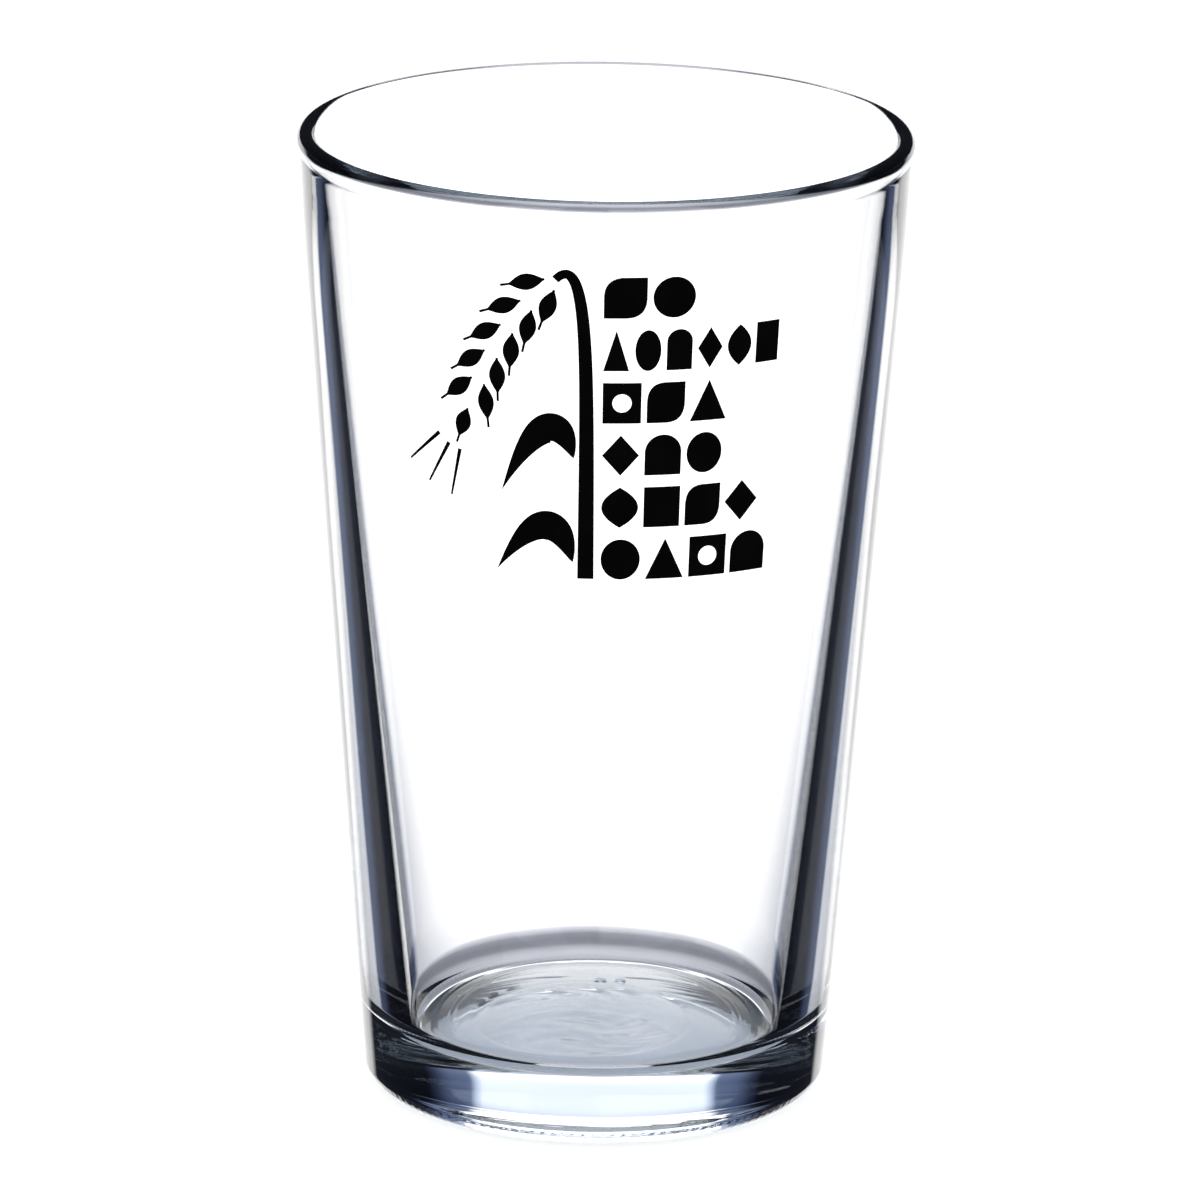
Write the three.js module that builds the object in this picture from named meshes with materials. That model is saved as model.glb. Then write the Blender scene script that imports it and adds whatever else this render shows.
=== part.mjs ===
// A conical pint glass: one pressed soda-lime glass body with a beaded rim and a thick base, and a black
// enamel print fired onto its outside, whose separate islands of ink each stand in a mesh of their own.
// Millimetres, +Z up, origin where the glass's axis meets the table. The print faces -Y.
import * as THREE from "three";
import { TessellateModifier } from "three/addons/modifiers/TessellateModifier.js";

// Driving dimensions of the glass
const HEIGHT = 143;
const RIM_RADIUS = 44.45;
const BEAD_RADIUS = 1.4;
const BEAD_START = -0.75; // angle on the bead, in radians, at which the groove meets it
const GROOVE_DEPTH = 0.18; // the wall is drawn in by this much, little by little, just under the bead
const GROOVE_START = 15; // how far below the top the drawing in starts and ends
const GROOVE_END = 4;
const FOOT_RADIUS = 33.8; // the outer cone, carried down to the table
const FLOOR_HEIGHT = 9.3; // thickness of the glass under the drink
const FLOOR_RADIUS = 27.6; // the inner cone, carried down to the inner floor
const CORNER_WIDTH = 4; // the rounded corner between the floor and the wall is taller than it is wide
const CORNER_HEIGHT = 4.6;
const HEEL_RADIUS = 3.2;
const FOOT_RING_INNER = 26.4; // the flat ring that the glass stands on runs from here to the heel
const FOOT_RECESS = 1.1; // how far the underside rises inside that ring
const DOME_FLATNESS = 6; // the power of the underside's curve: the higher, the wider its flat middle
const AROUND = 72; // facets round the glass

// Driving dimensions of the print
const INK_GAP = 0.1;
const INK_THICKNESS = 0.1;
const INK_EDGE = 3; // longest facet edge, so that the ink follows the curve of the glass
const PRINT_RADIUS = 42.1; // radius of the glass at the middle of the print
const SHAPE_HEIGHT = 6;
const SHAPE_GAP = 0.8;
const ROW_PITCH = 7.75;
const FIRST_ROW_Z = 129.3;

const glass = new THREE.MeshStandardMaterial({
  color: 0xdfe9ee,
  roughness: 0.03,
  metalness: 0,
  transparent: true,
  opacity: 0.35,
});
const enamel = new THREE.MeshStandardMaterial({ color: 0x0c0c0e, roughness: 0.32, metalness: 0 });

const object = new THREE.Group();

// The outer wall is a cone from the foot to the bead, and the inner wall a steeper one.
const beadHeight = HEIGHT - BEAD_RADIUS;
const outerSlope = (RIM_RADIUS - FOOT_RADIUS) / beadHeight;
const innerTopRadius = RIM_RADIUS - 2 * BEAD_RADIUS;
const innerSlope = (innerTopRadius - FLOOR_RADIUS) / (beadHeight - FLOOR_HEIGHT);
const outerRadius = (z) => FOOT_RADIUS + outerSlope * z;
const innerRadius = (z) => FLOOR_RADIUS + innerSlope * (z - FLOOR_HEIGHT);

// Radius of the outer wall with the shallow groove that sets the bead off.
function groovedRadius(z) {
  const into = THREE.MathUtils.smoothstep(z, HEIGHT - GROOVE_START, HEIGHT - GROOVE_END);
  return outerRadius(z) - GROOVE_DEPTH * into;
}

// Points of a circular arc in the profile plane, its ends included.
function arc(centreR, centreZ, radius, fromAngle, toAngle, steps) {
  const points = [];
  for (let i = 0; i <= steps; i += 1) {
    const angle = fromAngle + ((toAngle - fromAngle) * i) / steps;
    const r = centreR + radius * Math.cos(angle);
    points.push(new THREE.Vector2(r, centreZ + radius * Math.sin(angle)));
  }
  return points;
}

// Points of the rounded corner, a quarter of an ellipse, from the wall down to the floor.
function cornerPoints() {
  const turn = Math.atan((innerSlope * CORNER_HEIGHT) / CORNER_WIDTH);
  const top = FLOOR_HEIGHT + CORNER_HEIGHT * (1 - Math.sin(turn));
  const floorEdge = innerRadius(top) - CORNER_WIDTH * Math.cos(turn);
  const quarter = arc(0, 0, 1, -turn, -Math.PI / 2, 6);
  const place = (p) =>
    new THREE.Vector2(floorEdge + CORNER_WIDTH * p.x, FLOOR_HEIGHT + CORNER_HEIGHT * (1 + p.y));
  return quarter.map(place);
}

function glassProfile() {
  const outerTilt = Math.atan(outerSlope);
  const innerTilt = Math.atan(innerSlope);
  const points = [];

  // Underside: a shallow dome inside the flat foot ring, then the rounded heel.
  const domeSteps = 8;
  for (let i = 0; i <= domeSteps; i += 1) {
    const part = i / domeSteps;
    const rise = FOOT_RECESS * (1 - part ** DOME_FLATNESS);
    points.push(new THREE.Vector2(FOOT_RING_INNER * part, rise));
  }
  const heelR = outerRadius(HEEL_RADIUS) - HEEL_RADIUS / Math.cos(outerTilt);
  points.push(...arc(heelR, HEEL_RADIUS, HEEL_RADIUS, -Math.PI / 2, -outerTilt, 5));

  // Outer wall, up through the groove.
  points.push(new THREE.Vector2(outerRadius(HEIGHT / 2), HEIGHT / 2));
  const grooveSteps = 4;
  for (let i = 0; i <= grooveSteps; i += 1) {
    const z = HEIGHT - GROOVE_START + ((GROOVE_START - GROOVE_END) * i) / grooveSteps;
    points.push(new THREE.Vector2(groovedRadius(z), z));
  }

  // Bead: round outside, over the top, and down into the drinking side.
  const beadR = RIM_RADIUS - BEAD_RADIUS;
  points.push(...arc(beadR, beadHeight, BEAD_RADIUS, BEAD_START, 0, 3));
  points.push(...arc(beadR, beadHeight, BEAD_RADIUS, 0, Math.PI / 2, 4).slice(1));
  points.push(...arc(beadR, beadHeight, BEAD_RADIUS, Math.PI / 2, Math.PI - innerTilt, 4).slice(1));

  // Inner wall, the rounded corner at its foot, and the floor.
  points.push(new THREE.Vector2(innerRadius(HEIGHT / 2), HEIGHT / 2));
  points.push(...cornerPoints());
  points.push(new THREE.Vector2(0, FLOOR_HEIGHT));
  return points;
}

const body = new THREE.Mesh(new THREE.LatheGeometry(glassProfile(), AROUND), glass);
body.geometry.rotateX(Math.PI / 2);
body.name = "glass_body";
object.add(body);

// Outlines of the print's plain shapes, each centred on 0, 0 in a box of the given width and height.
const outlines = {
  oval(w, h) {
    return new THREE.Shape().absellipse(0, 0, w / 2, h / 2, 0, 2 * Math.PI);
  },
  block(w, h) {
    return new THREE.Shape([
      new THREE.Vector2(-w / 2, -h / 2),
      new THREE.Vector2(w / 2, -h / 2),
      new THREE.Vector2(w / 2, h / 2),
      new THREE.Vector2(-w / 2, h / 2),
    ]);
  },
  triangle(w, h) {
    return new THREE.Shape([
      new THREE.Vector2(-w / 2, -h / 2),
      new THREE.Vector2(w / 2, -h / 2),
      new THREE.Vector2(0, h / 2),
    ]);
  },
  diamond(w, h) {
    return new THREE.Shape([
      new THREE.Vector2(0, -h / 2),
      new THREE.Vector2(w / 2, 0),
      new THREE.Vector2(0, h / 2),
      new THREE.Vector2(-w / 2, 0),
    ]);
  },
  petal(w, h) {
    const shape = new THREE.Shape().moveTo(0, -h / 2);
    shape.quadraticCurveTo(w, 0, 0, h / 2);
    shape.quadraticCurveTo(-w, 0, 0, -h / 2);
    return shape;
  },
  leaf(w, h) {
    const shape = new THREE.Shape().moveTo(-w / 2, -h / 2);
    shape.lineTo(0, -h / 2);
    shape.quadraticCurveTo(w / 2, -h / 2, w / 2, 0);
    shape.lineTo(w / 2, h / 2);
    shape.lineTo(0, h / 2);
    shape.quadraticCurveTo(-w / 2, h / 2, -w / 2, 0);
    return shape;
  },
  arch(w, h) {
    const spring = h / 2 - w / 2;
    const shape = new THREE.Shape().moveTo(-w / 2, -h / 2);
    shape.lineTo(w / 2, -h / 2);
    shape.lineTo(w / 2, spring);
    shape.absarc(0, spring, w / 2, 0, Math.PI, false);
    return shape;
  },
  pierced_block(w, h) {
    const shape = outlines.block(w, h);
    shape.holes.push(new THREE.Path().absarc(0, 0, 0.25 * w, 0, 2 * Math.PI, true));
    return shape;
  },
};

// A pointed or blunt band along a curve, as a shape. halfWidth gives half its width, from 0 to 1 along it.
function ribbon(curve, steps, halfWidth) {
  const left = [];
  const right = [];
  for (let i = 0; i <= steps; i += 1) {
    const t = i / steps;
    const point = curve.getPoint(t);
    const along = curve.getTangent(t);
    const across = new THREE.Vector2(-along.y, along.x).multiplyScalar(halfWidth(t));
    left.push(point.clone().add(across));
    if (halfWidth(t) > 0) right.unshift(point.clone().sub(across));
  }
  return new THREE.Shape([...left, ...right]);
}

// Wraps a flat shape round the glass: x runs round it from the print's upright line, y is the height.
const tessellate = new TessellateModifier(INK_EDGE, 14);
function addInk(name, shape, x = 0, y = 0) {
  const flat = new THREE.ExtrudeGeometry(shape, {
    depth: INK_THICKNESS,
    bevelEnabled: false,
    curveSegments: 10,
  });
  flat.translate(x, y, 0);
  const geometry = tessellate.modify(flat);
  const position = geometry.getAttribute("position");
  for (let i = 0; i < position.count; i += 1) {
    const height = position.getY(i);
    const angle = position.getX(i) / PRINT_RADIUS;
    const radius = outerRadius(height) + INK_GAP + position.getZ(i);
    position.setXYZ(i, radius * Math.sin(angle), -radius * Math.cos(angle), height);
  }
  const mesh = new THREE.Mesh(geometry, enamel);
  mesh.name = name;
  object.add(mesh);
}

// Six rows of plain shapes, each row as wide as it says and starting at the print's upright line.
const rows = [
  { width: 12.6, shapes: ["leaf", "oval"] },
  { width: 25.6, shapes: ["triangle", "oval", "arch", "diamond", "petal", "block"] },
  { width: 17.8, shapes: ["pierced_block", "leaf", "triangle"] },
  { width: 17.4, shapes: ["diamond", "arch", "oval"] },
  { width: 23.6, shapes: ["petal", "block", "leaf", "diamond"] },
  { width: 25.4, shapes: ["oval", "triangle", "pierced_block", "arch"] },
];
rows.forEach((row, rowIndex) => {
  const width = (row.width - SHAPE_GAP * (row.shapes.length - 1)) / row.shapes.length;
  row.shapes.forEach((kind, i) => {
    const x = width / 2 + i * (width + SHAPE_GAP);
    const y = FIRST_ROW_Z - rowIndex * ROW_PITCH;
    const name = `print_row${rowIndex + 1}_${i + 1}_${kind}`;
    addInk(name, outlines[kind](width, SHAPE_HEIGHT), x, y);
  });
});

// An ear of barley beside the rows: an upright stem that bends over at the top, two leaves, and the grains.
const vector = (x, y) => new THREE.Vector2(x, y);
const stemLine = new THREE.CubicBezierCurve(
  vector(-2.2, 87.6),
  vector(-2.2, 118),
  vector(-1.8, 137),
  vector(-6.6, 131.8),
);
const STEM_FOOT_HALF_WIDTH = 1.2;
const STEM_TOP_HALF_WIDTH = 0.6;
const stemWidth = (t) => THREE.MathUtils.lerp(STEM_FOOT_HALF_WIDTH, STEM_TOP_HALF_WIDTH, t);
addInk("print_stem", ribbon(stemLine, 16, stemWidth));

const LEAF_HALF_WIDTH = 2.2;
const leafWidth = (t) => LEAF_HALF_WIDTH * Math.sin(Math.PI * t ** 0.8); // widest below its middle
const upperLeaf = new THREE.QuadraticBezierCurve(vector(-4, 105.5), vector(-7, 116.5), vector(-14.6, 100));
const lowerLeaf = new THREE.QuadraticBezierCurve(vector(-4.1, 90), vector(-7, 101.5), vector(-15.5, 88.2));
addInk("print_leaf_upper", ribbon(upperLeaf, 12, leafWidth));
addInk("print_leaf_lower", ribbon(lowerLeaf, 12, leafWidth));

const earLine = new THREE.QuadraticBezierCurve(vector(-7.4, 131), vector(-15, 124.4), vector(-19.6, 111.6));
const GRAIN_PAIRS = 5;
const GRAIN_LENGTH = 5.6;
const GRAIN_HALF_WIDTH = 1.2;
const TIP_HALF_WIDTH = 0.18; // a grain's blunt ends, which a screen can still print
const GRAIN_SPLAY = 0.55; // how far a grain leans away from the ear, as a share of its length
const GRAIN_OFFSET = 1; // how far its foot stands off the ear's middle line
const grainWidth = (t) => Math.max(TIP_HALF_WIDTH, GRAIN_HALF_WIDTH * Math.sin((Math.PI * t) / 0.82));
for (let i = 0; i <= 2 * GRAIN_PAIRS; i += 1) {
  const side = i === 2 * GRAIN_PAIRS ? 0 : 1 - 2 * (i % 2);
  const t = Math.floor(i / 2) / GRAIN_PAIRS;
  const along = earLine.getTangentAt(t);
  const across = vector(-along.y, along.x).multiplyScalar(side);
  const foot = earLine.getPointAt(t).addScaledVector(across, GRAIN_OFFSET);
  const tip = foot.clone().addScaledVector(along, GRAIN_LENGTH);
  tip.addScaledVector(across, GRAIN_SPLAY * GRAIN_LENGTH);
  addInk(`print_grain_${i + 1}`, ribbon(new THREE.LineCurve(foot, tip), 12, grainWidth));
}

// Three long bristles past the last grain, fanned out by the leans below, in radians.
const BRISTLE_LEANS = [-0.5, -0.18, 0.12];
const BRISTLE_START = GRAIN_LENGTH + 0.8;
const BRISTLE_END = GRAIN_LENGTH + 8;
const bristleFoot = earLine.getPoint(1);
const bristleWidth = (t) => 0.3 - 0.15 * t;
BRISTLE_LEANS.forEach((lean, i) => {
  const aim = earLine.getTangent(1).rotateAround(vector(0, 0), lean);
  const near = bristleFoot.clone().addScaledVector(aim, BRISTLE_START);
  const far = bristleFoot.clone().addScaledVector(aim, BRISTLE_END);
  addInk(`print_bristle_${i + 1}`, ribbon(new THREE.LineCurve(near, far), 4, bristleWidth));
});

export default object;
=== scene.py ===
import math

import bpy
from mathutils import Matrix, Vector, noise
from mathutils.geometry import delaunay_2d_cdt


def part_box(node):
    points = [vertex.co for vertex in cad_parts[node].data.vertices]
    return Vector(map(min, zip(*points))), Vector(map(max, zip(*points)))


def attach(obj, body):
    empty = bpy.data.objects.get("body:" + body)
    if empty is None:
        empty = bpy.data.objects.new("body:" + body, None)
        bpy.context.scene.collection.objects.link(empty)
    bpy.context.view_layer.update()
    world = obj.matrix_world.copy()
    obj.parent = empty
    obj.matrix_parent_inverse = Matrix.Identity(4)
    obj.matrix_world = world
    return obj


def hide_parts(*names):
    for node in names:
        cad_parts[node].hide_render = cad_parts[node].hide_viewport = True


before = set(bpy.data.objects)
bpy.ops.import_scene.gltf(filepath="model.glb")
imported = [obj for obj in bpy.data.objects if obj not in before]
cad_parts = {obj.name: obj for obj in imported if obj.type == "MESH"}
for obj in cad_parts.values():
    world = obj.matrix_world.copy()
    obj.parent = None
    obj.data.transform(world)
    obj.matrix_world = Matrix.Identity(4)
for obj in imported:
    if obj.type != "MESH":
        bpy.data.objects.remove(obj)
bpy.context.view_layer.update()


# --- Camera ---------------------------------------------------------------------------------------
# A long lens 1.3 m from the glass and 0.3 m above its rim, so that the rim is an open ellipse and
# the floor is seen through the front wall. It leans a hair, as a hand-levelled tripod does.
camera_place = Vector((0, -1.274, 0.4476))
camera_down = math.radians(16.40)
camera_lean = math.radians(0.761)

camera_data = bpy.data.cameras.new("long_lens")
camera_data.lens = 273.5
camera_data.sensor_width = 36
camera = bpy.data.objects.new("camera", camera_data)
tilt = Matrix.Rotation(math.pi / 2 - camera_down, 4, "X")
lean = Matrix.Rotation(camera_lean, 4, "Z")
camera.matrix_world = Matrix.Translation(camera_place) @ tilt @ lean
bpy.context.scene.collection.objects.link(camera)
bpy.context.scene.camera = camera


# --- Glass body -----------------------------------------------------------------------------------
# One gob of soda-lime glass, pressed between a mould and a plunger and then fire-polished: a thick
# stippled foot, a conical wall that thins upwards, and a rounded bead at the rim, set off by a
# shallow groove. The mould gives the outside, the plunger the inside and the rings on the floor.
MM = 0.001  # the sizes below are in millimetres, and Blender's unit is the metre

_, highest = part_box("glass_body")
height = highest.z / MM
rim_radius = highest.x / MM
foot_radius = 33.8  # the outer cone, carried down to the table
floor_height = 9.3
floor_radius = 27.6  # the inner cone, carried down to the floor
corner_width = 4.0  # the rounded corner between the floor and the wall is taller than it is wide
corner_height = 4.6

bead = 1.4  # radius of the rim's bead
bead_start = -0.75  # the angle on the bead where it meets the wall
neck = 2.6  # the wall meets the bead this far below the top
groove_depth = 0.18  # the groove deepens between two places, measured down from the top
groove_start = 15
groove_end = 4
groove_detail = 10  # the outline has closer points above this place

heel = 3.2  # radius of the heel between the wall and the foot ring
ring_inner = 26.4  # the foot ring that the glass stands on runs from here to the heel
recess = 1.1  # how far the underside rises inside that ring
dome_flatness = 6  # a power: the higher, the wider the dome's flat middle
around = 432  # facets round the glass, three to each ridge of the stippling

bead_height = height - bead
outer_slope = (rim_radius - foot_radius) / bead_height
inner_slope = (rim_radius - 2 * bead - floor_radius) / (bead_height - floor_height)
outer_tilt = math.atan(outer_slope)
inner_tilt = math.atan(inner_slope)


def outer_radius(z):
    return foot_radius + outer_slope * z


def smooth(value, start, end):
    """0 before start, 1 after end, and an S-curve in between."""
    t = min(1.0, max(0.0, (value - start) / (end - start)))
    return t * t * (3 - 2 * t)


def arc(centre_r, centre_z, radius, start, end, steps):
    """Points of a round corner of the profile, its ends included."""
    turned = [start + (end - start) * i / steps for i in range(steps + 1)]
    return [(centre_r + radius * math.cos(a), centre_z + radius * math.sin(a)) for a in turned]


def underside(r):
    """Height of the underside inside the foot ring: a shallow dome with a flat middle."""
    return recess * (1 - (r / ring_inner) ** dome_flatness)


# The fine rings that the end of the plunger pressed into the floor: the radius and depth of each.
floor_rings = [(23.5, 0.12), (22.8, 0.1), (22.1, 0.08), (21.3, 0.05)]
floor_ring_width = 0.24


def floor(r):
    """Height of the floor: level, with its rings."""
    dips = [depth * math.exp(-(((r - ring) / floor_ring_width) ** 2)) for ring, depth in floor_rings]
    return floor_height - sum(dips)


def wall_points(radius_at, start, end, steps):
    """Points of the profile up or down a wall, its ends left out."""
    heights = [start + (end - start) * i / steps for i in range(1, steps)]
    return [(radius_at(z), z) for z in heights]


def grooved_radius(z):
    """Radius of the outer wall, drawn in a little under the bead."""
    return outer_radius(z) - groove_depth * smooth(z, height - groove_start, height - groove_end)


def inner_radius(z):
    return floor_radius + inner_slope * (z - floor_height)


def glass_profile():
    """Outline of half the glass, from the middle of the underside round to the middle of the floor."""
    under_steps, floor_steps = 66, 76
    under = [ring_inner * i / under_steps for i in range(under_steps + 1)]
    points = [(r, underside(r)) for r in under]
    heel_r = foot_radius + outer_slope * heel - heel / math.cos(outer_tilt)
    points += arc(heel_r, heel, heel, -math.pi / 2, -outer_tilt, steps=18)
    points += wall_points(grooved_radius, heel, height - groove_detail, steps=20)
    points += wall_points(grooved_radius, height - groove_detail, height - neck, steps=12)
    bead_r = rim_radius - bead
    points += arc(bead_r, bead_height, bead, bead_start, 0, steps=8)
    points += arc(bead_r, bead_height, bead, 0, math.pi / 2, steps=12)[1:]
    points += arc(bead_r, bead_height, bead, math.pi / 2, math.pi - inner_tilt, steps=12)[1:]
    turn = math.atan(inner_slope * corner_height / corner_width)
    top_of_corner = floor_height + corner_height * (1 - math.sin(turn))
    edge = inner_radius(top_of_corner) - corner_width * math.cos(turn)
    points += wall_points(inner_radius, bead_height, top_of_corner, steps=24)
    for r, z in arc(0, 0, 1, -turn, -math.pi / 2, steps=22):
        points.append((edge + corner_width * r, floor_height + corner_height * (1 + z)))
    across_floor = [edge * i / floor_steps for i in range(floor_steps - 1, -1, -1)]
    points += [(r, floor(r)) for r in across_floor]
    return points


# The swirl that the plunger's chill left on the floor: whorls that wind round a middle, fade out
# towards its edge and end in a faint ring.
swirl_x, swirl_y, swirl_radius = -1.9, -2.0, 15.5
swirl_reach = 22  # no part of it lies further than this from the axis
swirl_fade = 3
whorl_depth = 0.08
whorl_closeness = 0.24  # whorls in a millimetre
whorl_winding = 0.12  # radians for each millimetre from its middle
swirl_ring_depth = 0.05
swirl_ring_width = 0.7


def swirl(x, y):
    """How far the swirl raises or lowers the floor."""
    from_middle = math.hypot(x - swirl_x, y - swirl_y)
    turned = math.atan2(x - swirl_x, y - swirl_y) + whorl_winding * from_middle
    wound = Vector((math.sin(turned), math.cos(turned), 0)) * from_middle
    whorl = whorl_depth * noise.noise(wound * whorl_closeness)
    ring = swirl_ring_depth * math.exp(-(((from_middle - swirl_radius) / swirl_ring_width) ** 2))
    return whorl * (1 - smooth(from_middle, swirl_radius - swirl_fade, swirl_radius)) - ring


# The mould's marks low on the outside: a band of upright ridges round the heel, and two dots on the
# underside, given by their places.
marks_top = 2.6
stipple_inner = 31.6  # radius where the band starts
stipple_depth = 0.09
stipple_low = (0.1, 0.5)  # the ridges fade in between these heights
stipple_high = (1.9, 2.5)  # and out between these
ridges = around / 3
dots_at = [(0.9, 21.4), (4.0, 21.2)]
dot_depth = 0.3
dot_size = 0.35


def stipple(z, angle):
    """Depth of the stippling: ridges cut into a band, unevenly so that they break into grains."""
    band = smooth(z, *stipple_low) * (1 - smooth(z, *stipple_high))
    unevenness = 0.6 + 0.4 * math.sin(37 * angle) * math.cos(9 * z)  # 37 doesn't divide the ridges
    return stipple_depth * band * (1 + math.cos(ridges * angle) * unevenness)


def relief(r, z, angle):
    """What the mould and plunger add to the lathe-turned form: how far outwards, and how far up."""
    x, y = r * math.sin(angle), -r * math.cos(angle)
    if z > marks_top:
        on_floor = r < swirl_reach and z < floor_height + 0.1
        return 0.0, swirl(x, y) if on_floor else 0.0
    if r > stipple_inner:
        return -stipple(z, angle), 0.0
    dots = [math.exp(-((x - dot_x) ** 2 + (y - dot_y) ** 2) / dot_size) for dot_x, dot_y in dots_at]
    return 0.0, -dot_depth * sum(dots)


def lathe(name, profile):
    """A closed mesh turned from a profile that starts and ends on the axis, with the relief added."""
    inner = profile[1:-1]
    vertices = [(0, 0, profile[0][1] * MM)]
    for step in range(around):
        angle = 2 * math.pi * step / around
        for r, z in inner:
            outwards, upwards = relief(r, z, angle)
            x, y = (r + outwards) * math.sin(angle), -(r + outwards) * math.cos(angle)
            vertices.append((x * MM, y * MM, (z + upwards) * MM))
    vertices.append((0, 0, profile[-1][1] * MM))
    count, last = len(inner), len(vertices) - 1
    faces = []
    for step in range(around):
        here, after = 1 + step * count, 1 + (step + 1) % around * count
        faces.append((0, after, here))
        for i in range(count - 1):
            faces.append((here + i, after + i, after + i + 1, here + i + 1))
        faces.append((last, here + count - 1, after + count - 1))
    mesh = bpy.data.meshes.new(name)
    mesh.from_pydata(vertices, [], faces)
    mesh.shade_smooth()
    made = bpy.data.objects.new(name, mesh)
    bpy.context.scene.collection.objects.link(made)
    return made


def linear(hex_colour):
    """An sRGB colour such as 0xE0F0F0 as the linear numbers that a shader takes."""
    parts = [(hex_colour >> shift & 255) / 255 for shift in (16, 8, 0)]
    return [p / 12.92 if p <= 0.04045 else ((p + 0.055) / 1.055) ** 2.4 for p in parts] + [1.0]


def add(tree, kind, links=None, values=None, **settings):
    """Adds a shader node: links and values are given by input name or number."""
    node = tree.nodes.new("ShaderNode" + kind)
    for setting, value in settings.items():
        setattr(node, setting, value)
    for socket, value in (values or {}).items():
        node.inputs[socket].default_value = value
    for socket, output in (links or {}).items():
        tree.links.new(output, node.inputs[socket])
    return node


def new_material(name):
    """An empty node material and its tree."""
    material = bpy.data.materials.new(name)
    material.use_nodes = True
    material.node_tree.nodes.clear()
    return material, material.node_tree


# Soda-lime glass, pressed and fire-polished: clear and mirror-smooth, with the slow waves that a
# mould leaves, which bend what is seen through the wall, and a faint cool tint in its thickness.
glass, tree = new_material("fire_polished_soda_lime_glass")
place = add(tree, "TexCoord").outputs["Object"]
wave_spacing = 14 * MM
wave_depth = 0.02 * MM
stretched = add(tree, "Mapping", {"Vector": place}, {"Scale": (1, 1, 0.22)})  # drawn out up the wall
waves = add(
    tree,
    "TexNoise",
    {"Vector": stretched.outputs[0]},
    {"Scale": 1 / wave_spacing, "Detail": 1.0},
)
bump = add(
    tree,
    "Bump",
    {"Height": waves.outputs["Fac"]},
    {"Strength": 1.0, "Distance": wave_depth},
)
surface = add(
    tree,
    "BsdfPrincipled",
    {"Normal": bump.outputs["Normal"]},
    {
        "Base Color": (1, 1, 1, 1),
        "Roughness": 0.0,
        "IOR": 1.52,
        "Transmission Weight": 1.0,
    },
)
tint = add(tree, "VolumeAbsorption", None, {"Color": linear(0xDCE8EE), "Density": 4.0})
add(tree, "OutputMaterial", {"Surface": surface.outputs[0], "Volume": tint.outputs[0]})

body = lathe("pressed_glass_body", glass_profile())
body.data.materials.append(glass)
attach(body, "root")
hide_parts("glass_body")


# --- Enamel print: rows of plain shapes -----------------------------------------------------------
# Black ceramic enamel, screen-printed on the outside of the wall and fired until it fuses to the
# glass: a film a few hundredths of a millimetre thick. Six rows of plain shapes stand to the right
# of an upright line down the front of the glass, and each island of ink is a piece of its own.
print_radius = 42.1  # radius of the glass at the middle of the print
film_gap = 0.006  # clearance over the glass, so that the two surfaces stay apart
film = 0.03  # thickness of the fired ink
film_edge = 0.35  # spacing of the points along an outline
film_grid = 1.2  # spacing of the points inside one
film_clearance = 0.4 * film_grid  # and how far they keep from its outline
shape_height = 6.0
shape_gap = 0.8
row_pitch = 7.75
first_row = 129.3  # height of the top row's middle
piercing = 0.25  # radius of the hole in a pierced block, as a share of its width
# From the top: each row's width, and its shapes from left to right.
rows = [
    (12.6, ["leaf", "oval"]),
    (25.6, ["triangle", "oval", "arch", "diamond", "petal", "block"]),
    (17.8, ["pierced_block", "leaf", "triangle"]),
    (17.4, ["diamond", "arch", "oval"]),
    (23.6, ["petal", "block", "leaf", "diamond"]),
    (25.4, ["oval", "triangle", "pierced_block", "arch"]),
]

# Fired ceramic enamel: a dense black with the soft shine of a matt glaze, very slightly uneven
# where the screen's mesh laid it down.
enamel, tree = new_material("fired_black_enamel")
place = add(tree, "TexCoord").outputs["Object"]
mesh_spacing = 0.35 * MM  # coarser than a real screen's mesh, so that it shows
mesh_depth = 0.01 * MM
cloud_spacing = 6 * MM
grains = add(tree, "TexNoise", {"Vector": place}, {"Scale": 1 / mesh_spacing, "Detail": 2.0})
bump = add(
    tree,
    "Bump",
    {"Height": grains.outputs["Fac"]},
    {"Strength": 0.25, "Distance": mesh_depth},
)
clouds = add(tree, "TexNoise", {"Vector": place}, {"Scale": 1 / cloud_spacing, "Detail": 3.0})
black = add(tree, "ValToRGB", {"Fac": clouds.outputs["Fac"]})
black.color_ramp.elements[0].color = linear(0x020203)
black.color_ramp.elements[1].color = linear(0x09090B)
shine = add(tree, "MapRange", {"Value": clouds.outputs["Fac"]}, {"To Min": 0.42, "To Max": 0.52})
surface = add(
    tree,
    "BsdfPrincipled",
    {
        "Base Color": black.outputs["Color"],
        "Roughness": shine.outputs["Result"],
        "Normal": bump.outputs["Normal"],
    },
    {"IOR": 1.5, "Specular IOR Level": 0.12},
)
add(tree, "OutputMaterial", {"Surface": surface.outputs[0]})


def bezier(points, steps):
    """Points along a straight line, or a curve with one or two handles, its ends included."""
    made = []
    for i in range(steps + 1):
        level, t = [Vector(p) for p in points], i / steps
        while len(level) > 1:
            level = [a.lerp(b, t) for a, b in zip(level, level[1:])]
        made.append(level[0])
    return made


def circle(x, y, radius_x, radius_y, start=0.0, end=2 * math.pi, steps=48):
    """Points round an ellipse or a stretch of one, its ends included."""
    turned = [start + (end - start) * i / steps for i in range(steps + 1)]
    return [Vector((x + radius_x * math.cos(a), y + radius_y * math.sin(a))) for a in turned]


# The shapes, as closed loops round a middle at 0, 0: each takes a width and a height.
def oval(w, h):
    return [circle(0, 0, w / 2, h / 2)]


def block(w, h):
    return [[(-w / 2, -h / 2), (w / 2, -h / 2), (w / 2, h / 2), (-w / 2, h / 2)]]


def triangle(w, h):
    return [[(-w / 2, -h / 2), (w / 2, -h / 2), (0, h / 2)]]


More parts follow.
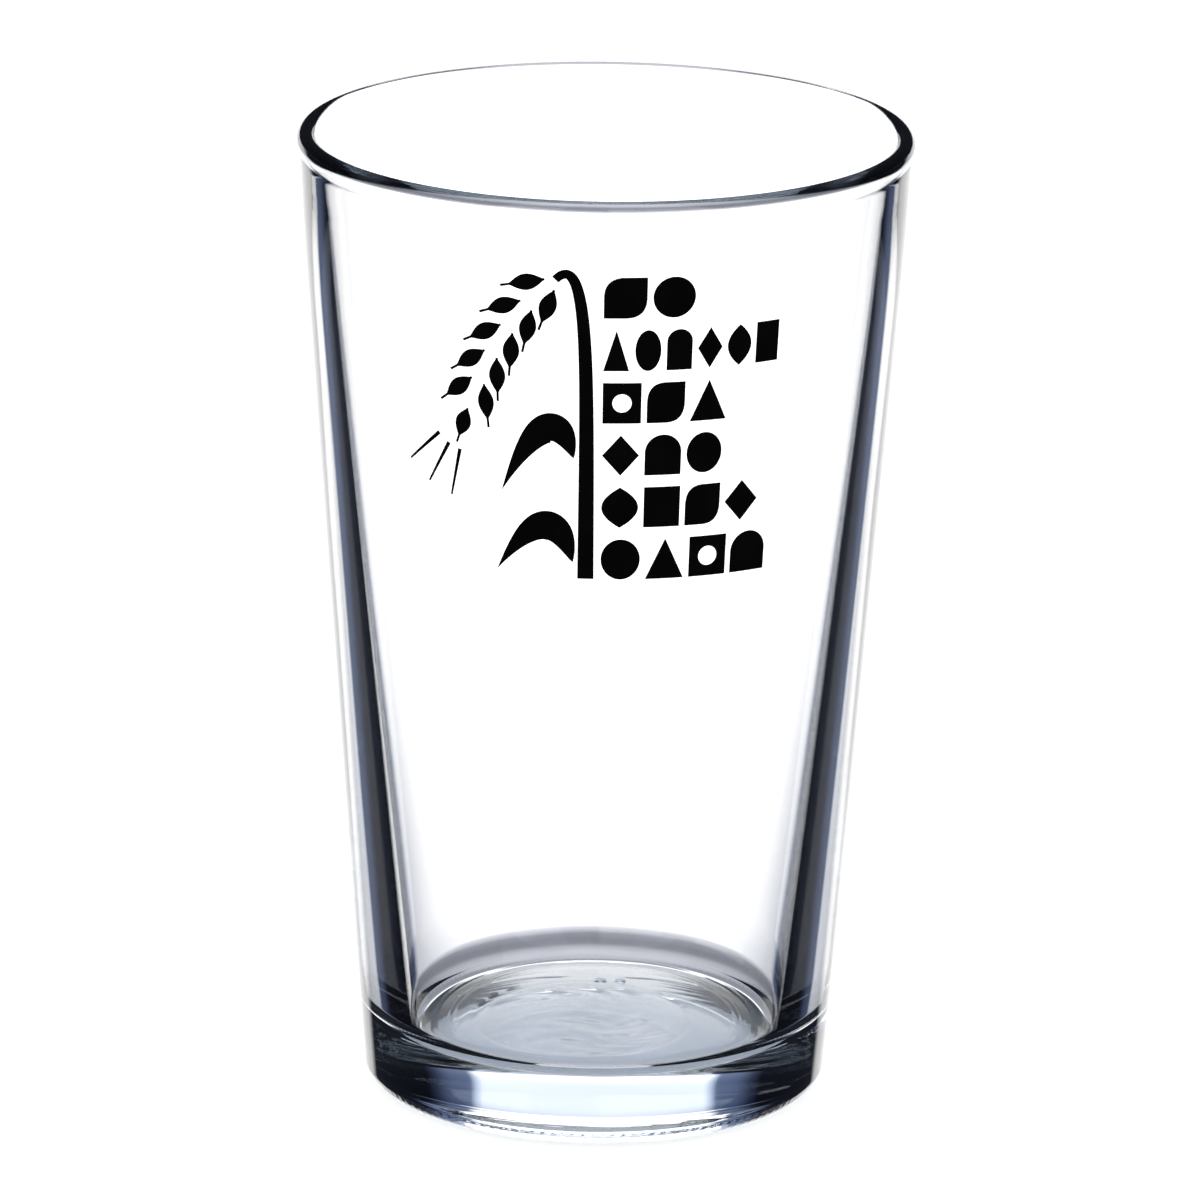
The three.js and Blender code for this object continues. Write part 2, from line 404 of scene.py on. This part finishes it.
def diamond(w, h):
    return [[(0, -h / 2), (w / 2, 0), (0, h / 2), (-w / 2, 0)]]


def petal(w, h):
    right = bezier([(0, -h / 2), (w, 0), (0, h / 2)], 24)
    left = bezier([(0, h / 2), (-w, 0), (0, -h / 2)], 24)
    return [right + left]


def leaf(w, h):
    low = bezier([(0, -h / 2), (w / 2, -h / 2), (w / 2, 0)], 16)
    high = bezier([(0, h / 2), (-w / 2, h / 2), (-w / 2, 0)], 16)
    return [[(-w / 2, -h / 2)] + low + [(w / 2, h / 2)] + high]


def arch(w, h):
    top = circle(0, h / 2 - w / 2, w / 2, w / 2, 0, math.pi, 24)
    return [[(-w / 2, -h / 2), (w / 2, -h / 2)] + top]


def pierced_block(w, h):
    return block(w, h) + [circle(0, 0, piercing * w, piercing * w)]


def close_spaced(loop):
    """The loop with points no further apart than film_edge, and none twice."""
    loop = [Vector(p) for p in loop]
    made = []
    for a, b in zip(loop, loop[1:] + loop[:1]):
        steps = math.ceil((b - a).length / film_edge - 1e-6)
        made += [a.lerp(b, i / steps) for i in range(steps)]
    return made


def is_inked(point, loops):
    """True where a line from the point to the right crosses the loops an odd number of times."""
    crossings = 0
    for loop in loops:
        for (ax, ay), (bx, by) in zip(loop, loop[1:] + loop[:1]):
            if (ay > point.y) != (by > point.y):
                crossings += point.x < ax + (point.y - ay) * (bx - ax) / (by - ay)
    return crossings % 2 == 1


def turn_of(points, triangle):
    """Positive where the triangle's corners go round anticlockwise."""
    a, b, c = (points[i] for i in triangle)
    return (b - a).cross(c - a)


def filled(loops):
    """The area inside the loops, flat: its points, and triangles that all go round anticlockwise."""
    points, edges = [], []
    for loop in loops:
        spaced = close_spaced(loop)
        first = len(points)
        edges += [(first + i, first + (i + 1) % len(spaced)) for i in range(len(spaced))]
        points += spaced
    low = Vector((min(p.x for p in points), min(p.y for p in points)))
    high = Vector((max(p.x for p in points), max(p.y for p in points)))
    outline = list(points)
    for column in range(1, math.ceil((high.x - low.x) / film_grid)):
        for row in range(1, math.ceil((high.y - low.y) / film_grid)):
            point = low + Vector((column, row)) * film_grid
            if min((point - p).length for p in outline) > film_clearance:
                points.append(point)
    flat, _, triangles, *_ = delaunay_2d_cdt(points, edges, [], 1, 1e-5)
    middles = [sum((flat[i] for i in t), Vector((0, 0))) / 3 for t in triangles]
    inked = [t for t, middle in zip(triangles, middles) if is_inked(middle, loops)]
    return flat, [tuple(t) if turn_of(flat, t) > 0 else tuple(reversed(t)) for t in inked]


def ink(name, cad_node, loops, x=0.0, y=0.0):
    """An island of ink: its outline filled, wrapped round the glass and given the film's thickness."""
    flat, top = filled(loops)
    vertices = []
    for lift in (film_gap, film_gap + film):
        for p in flat:
            angle = (p.x + x) / print_radius
            r = outer_radius(p.y + y) + lift
            vertices.append((r * math.sin(angle) * MM, -r * math.cos(angle) * MM, (p.y + y) * MM))
    count = len(flat)
    used = {(a, b) for t in top for a, b in zip(t, t[1:] + t[:1])}
    side = [(a, b) for t in top for a, b in zip(t, t[1:] + t[:1]) if (b, a) not in used]
    faces = [tuple(i + count for i in t) for t in top] + [tuple(reversed(t)) for t in top]
    faces += [(a, b, b + count, a + count) for a, b in side]
    mesh = bpy.data.meshes.new(name)
    mesh.from_pydata(vertices, [], faces)
    mesh.materials.append(enamel)
    island = bpy.data.objects.new(name, mesh)
    bpy.context.scene.collection.objects.link(island)
    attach(island, "root")
    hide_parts(cad_node)


shapes = {s.__name__: s for s in (oval, block, triangle, diamond, petal, leaf, arch, pierced_block)}
for row, (row_width, kinds) in enumerate(rows):
    width = (row_width - shape_gap * (len(kinds) - 1)) / len(kinds)
    for i, kind in enumerate(kinds):
        name = f"row{row + 1}_{i + 1}_{kind}"
        middle = width / 2 + i * (width + shape_gap)
        outline = shapes[kind](width, shape_height)
        ink("enamel_" + name, "print_" + name, outline, middle, first_row - row * row_pitch)


# --- Enamel print: ear of barley ------------------------------------------------------------------
# The same fired black enamel, to the left of the rows: an upright stem that bends over at the top,
# two leaves on it, and a drooping ear of eleven grains with three long bristles.
grain_pairs = 5
grain_length = 5.6
grain_splay = 0.55  # how far a grain's tip turns away from the ear, as a slope
grain_offset = 1.0  # from the middle of the ear to the foot of a grain
bristle_start, bristle_end = 0.8, 8  # how far past the last grain the bristles run
bristle_turns = (-0.5, -0.18, 0.12)  # their angles to the ear, in radians


def ribbon(line, half_width):
    """The outline of a band along a line of points. half_width gives half its width at a place from 0
    to 1 along the line."""
    left, right = [], []
    for i, point in enumerate(line):
        along = (line[min(i + 1, len(line) - 1)] - line[max(i - 1, 0)]).normalized()
        across = Vector((-along.y, along.x)) * half_width(i / (len(line) - 1))
        left.append(point + across)
        if across.length > 1e-6:
            right.append(point - across)
    return [left + right[::-1]]


def point_along(line, share):
    """The point that lies this share of the way along a line, and the line's direction there."""
    lengths = [(b - a).length for a, b in zip(line, line[1:])]
    rest = share * sum(lengths)
    for a, b, length in zip(line, line[1:], lengths):
        if rest <= length:
            return a.lerp(b, rest / length), (b - a).normalized()
        rest -= length
    return line[-1], (line[-1] - line[-2]).normalized()


# Half the width of each part of the plant, in millimetres, at a place from 0 to 1 along it.
def half_stem(t):
    return 1.2 - 0.6 * t


def half_leaf(t):
    return 2.2 * math.sin(math.pi * t**0.8)


def half_grain(t):
    return max(0.18, 1.2 * math.sin(math.pi * t / 0.82))


def half_bristle(t):
    return 0.3 - 0.15 * t


stem = bezier([(-2.2, 87.6), (-2.2, 118), (-1.8, 137), (-6.6, 131.8)], 64)
ink("enamel_stem", "print_stem", ribbon(stem, half_stem))
upper = bezier([(-4, 105.5), (-7, 116.5), (-14.6, 100)], 40)
ink("enamel_leaf_upper", "print_leaf_upper", ribbon(upper, half_leaf))
lower = bezier([(-4.1, 90), (-7, 101.5), (-15.5, 88.2)], 40)
ink("enamel_leaf_lower", "print_leaf_lower", ribbon(lower, half_leaf))

ear = bezier([(-7.4, 131), (-15, 124.4), (-19.6, 111.6)], 200)
for i in range(2 * grain_pairs + 1):
    side = 0 if i == 2 * grain_pairs else 1 - 2 * (i % 2)
    foot, along = point_along(ear, (i // 2) / grain_pairs)
    across = Vector((-along.y, along.x)) * side
    foot = foot + across * grain_offset
    tip = foot + (along + across * grain_splay) * grain_length
    grain = bezier([foot, tip], 24)
    ink(f"enamel_grain_{i + 1}", f"print_grain_{i + 1}", ribbon(grain, half_grain))

end, direction = point_along(ear, 1.0)
for i, turn in enumerate(bristle_turns):
    aim = Matrix.Rotation(turn, 2) @ direction
    near = end + aim * (grain_length + bristle_start)
    far = end + aim * (grain_length + bristle_end)
    bristle = bezier([near, far], 12)
    ink(f"enamel_bristle_{i + 1}", f"print_bristle_{i + 1}", ribbon(bristle, half_bristle))


# --- Tabletop and studio --------------------------------------------------------------------------
# A plain white tabletop in a white tent. The tent has pale panels with dark gaps between them. Only
# light that the glass refracts or reflects comes from them, and the gaps draw its edges.
def flat_stage(name, outline, depth, hex_colour):
    """A level, matt piece of the stage, its outline in millimetres and depth below the table's top."""
    material, tree = new_material("matt_" + name)
    surface = add(tree, "BsdfDiffuse", None, {"Color": linear(hex_colour)})
    add(tree, "OutputMaterial", {"Surface": surface.outputs[0]})
    mesh = bpy.data.meshes.new(name)
    mesh.from_pydata([(x * MM, y * MM, -depth * MM) for x, y in outline], [], [range(len(outline))])
    mesh.materials.append(material)
    made = bpy.data.objects.new(name, mesh)
    bpy.context.scene.collection.objects.link(made)
    return made


half = 6000  # of the table's side: its edges are out of sight
table = [(-half, -half), (half, -half), (half, half), (-half, half)]
tabletop = flat_stage("tabletop", table, depth=0.04, hex_colour=0xFAFAFA)
# The glass doesn't show the table itself: the lower half of the tent stands for it there.
tabletop.visible_transmission = False
tabletop.visible_glossy = False
# A disc of shade under the foot, where the thick base keeps light off the table.
shade_radius = 30
shade = circle(0, 0, shade_radius, shade_radius)[:-1]
flat_stage("shade_under_the_glass", shade, depth=0.02, hex_colour=0xA8B0BC)

world = bpy.data.worlds.new("studio_tent")
bpy.context.scene.world = world
world.use_nodes = True
tree = world.node_tree
tree.nodes.clear()
direction = add(tree, "TexCoord").outputs["Generated"]
level = add(tree, "VectorMath", {0: direction}, {1: (1, 1, 0)}, operation="MULTIPLY")
level = add(tree, "VectorMath", {0: level.outputs[0]}, operation="NORMALIZE").outputs[0]
rise = add(tree, "SeparateXYZ", {0: direction}).outputs["Z"]


def spread(stops, share):
    """Colours spread over a half turn: stops are in degrees, and share is the place as a share of it."""
    node = add(tree, "ValToRGB", {"Fac": share})
    elements = node.color_ramp.elements
    while len(elements) < len(stops):
        elements.new(0.5)
    for element, (degrees, colour) in zip(elements, stops):
        element.position = degrees / 180
        element.color = linear(colour)
    return node.outputs[0]


def within(value, low, high, softness):
    """1 where value lies between low and high, falling to 0 over the softness outside each."""
    above = add(tree, "MapRange", {"Value": value}, {"From Min": low - softness, "From Max": low})
    below = add(tree, "MapRange", {"Value": value}, {"From Min": high + softness, "From Max": high})
    both = {0: above.outputs[0], 1: below.outputs[0]}
    return add(tree, "Math", both, operation="MULTIPLY").outputs[0]


# From straight down to straight up, in degrees: the grey table, the dark gap at its far edge, the
# bright tent and the grey ceiling. Through one wall alone the gap doesn't show, and the rim is thin.
elevation = add(tree, "Math", {0: rise}, operation="ARCSINE").outputs[0]
from_below = add(
    tree,
    "MapRange",
    {"Value": elevation},
    {"From Min": -math.pi / 2, "From Max": math.pi / 2},
)
overhead = [
    (105, 0xFFFFFF),
    (109, 0xD0D7E2),
    (113, 0xA8B1C2),
    (118, 0xA0A8B6),
    (150, 0xB4B6B8),
    (180, 0xB4B6B8),
]
up_and_down = [
    (0, 0xB0B2B8),
    (38, 0xA8AAB2),
    (45, 0x989AA2),
    (50, 0x74767E),
    (56, 0x70727A),
    (61, 0x7C7E86),
    (67, 0xC2C4CA),
    (69.5, 0xFFFFFF),
] + overhead
past_one_wall = [(0, 0xA6A8AE), (38, 0xA6A8AE), (46, 0xFFFFFF)] + overhead

# The colours of a panel go from its middle outwards, in degrees: white, slate blue, near black. The
# dim one is for what runs along in the glass, and the wide one and the gloom for what its outside
# reflects.
panel = [
    (0, 0xFFFFFF),
    (21, 0xFFFFFF),
    (22.5, 0xC8CEDA),
    (24, 0x5E6981),
    (29, 0x525C74),
    (33, 0x2C3244),
    (36, 0x0D0E14),
    (128, 0x0C0D11),
]
crisp_panel = [
    (0, 0xFFFFFF),
    (23.5, 0xFFFFFF),
    (25, 0xC8CEDA),
    (26.5, 0x5E6981),
    (30, 0x525C74),
    (34, 0x2C3244),
    (37, 0x0D0E14),
    (128, 0x0C0D11),
]
dim_panel = [(0, 0x90949C), (21, 0x90949C), (24, 0x40485A), (33, 0x16181E), (180, 0x0C0D11)]
wide_panel = [(0, 0xFFFFFF), (31, 0xFFFFFF), (37, 0x24262E), (180, 0x101116)]
gloom = [(0, 0x202228), (180, 0x202228)]
side_softness = math.radians(2)  # a panel fades out over this at its sides, and less above and below
rise_softness = math.radians(1)


def tent_light(panels, gradient=up_and_down):
    """The tent's light. Each panel has its compass bearing clockwise from behind the glass, how far
    it reaches on either side, the lowest and highest elevation that it covers, and its colours."""
    light = spread(gradient, from_below.outputs[0])
    for bearing, reach, lowest_rise, highest_rise, blend, colours in panels:
        facing = (math.sin(math.radians(bearing)), math.cos(math.radians(bearing)), 0)
        near = add(tree, "VectorMath", {0: level}, {1: facing}, operation="DOT_PRODUCT").outputs["Value"]
        off = add(tree, "Math", {0: near}, operation="ARCCOSINE").outputs[0]
        share = add(tree, "Math", {0: off}, {1: math.pi}, operation="DIVIDE").outputs[0]
        sideways = within(off, -1, math.radians(reach), side_softness)
        upwards = within(elevation, math.radians(lowest_rise), math.radians(highest_rise), rise_softness)
        covered = add(tree, "Math", {0: sideways, 1: upwards}, operation="MULTIPLY").outputs[0]
        mixed = {"Fac": covered, "Color1": light, "Color2": spread(colours, share)}
        light = add(tree, "MixRGB", mixed, blend_type=blend).outputs[0]
    return light


# What the glass only refracts sees narrow dark gaps, and what its wall reflects once or twice inside
# sees wide ones. What runs along in it through many reflections sees a dim tent, and what its outside
# reflects sees a dark room over a pale table. From every side the glass is then clear in the middle,
# and dark at its edges and its rim.
seen_through = [
    (0, 102, -20, 62, "MULTIPLY", crisp_panel),
    (0, 39, -62, -20, "MULTIPLY", crisp_panel),
    (-45, 10, -33, -20, "MIX", panel),
    (135, 46, -50, 60, "MULTIPLY", panel),
    (-90, 46, -9, 9, "MIX", panel),
]
seen_inside = [
    (0, 126, -80, 80, "MULTIPLY", panel),
    (135, 46, -50, 60, "MULTIPLY", panel),
    (-90, 46, -9, 9, "MIX", panel),
]
room_and_table = [(0, 180, -91, 2, "MIX", wide_panel), (0, 180, 3, 91, "MIX", gloom)]
path = add(tree, "LightPath")
reflections = path.outputs["Glossy Depth"]
crossings = path.outputs["Transmission Depth"]

# Each light takes the place of the ones before it where its count is under or over a number, which
# lies between two whole counts. One wall is crossed by going in and out, so it makes two crossings.
light = tent_light(seen_through)
for count, test, number, other in (
    (crossings, "LESS_THAN", 2.5, tent_light(seen_through, past_one_wall)),
    (reflections, "GREATER_THAN", 0.5, tent_light(seen_inside)),
    (reflections, "GREATER_THAN", 2.5, tent_light([(0, 180, -91, 62, "MIX", dim_panel)])),
    (crossings, "LESS_THAN", 0.5, tent_light(room_and_table)),
):
    chosen = add(tree, "Math", {0: count}, {1: number}, operation=test).outputs[0]
    light = add(tree, "MixRGB", {"Fac": chosen, "Color1": light, "Color2": other}).outputs[0]

# The camera and the matt tabletop see a plain white tent instead.
panel_strength = 1.7
plain_strength = 1.1
direct = {0: path.outputs["Is Camera Ray"], 1: path.outputs["Diffuse Depth"]}
plain = add(tree, "Math", direct, operation="ADD")
plain.use_clamp = True
seen = add(tree, "MixRGB", {"Fac": plain.outputs[0], "Color1": light}, {"Color2": linear(0xFFFFFF)})
strength = add(
    tree,
    "MapRange",
    {"Value": plain.outputs[0]},
    {"To Min": panel_strength, "To Max": plain_strength},
)
tent = add(tree, "Background", {"Color": seen.outputs[0], "Strength": strength.outputs[0]})
add(tree, "OutputWorld", {"Surface": tent.outputs[0]})

# Colours are shown as they are set, and light may cross the thick glass many times before it leaves.
bpy.context.scene.view_settings.view_transform = "Standard"
cycles = bpy.context.scene.cycles
cycles.max_bounces = 48
cycles.glossy_bounces = 32
cycles.transmission_bounces = 48
cycles.blur_glossy = 0.0
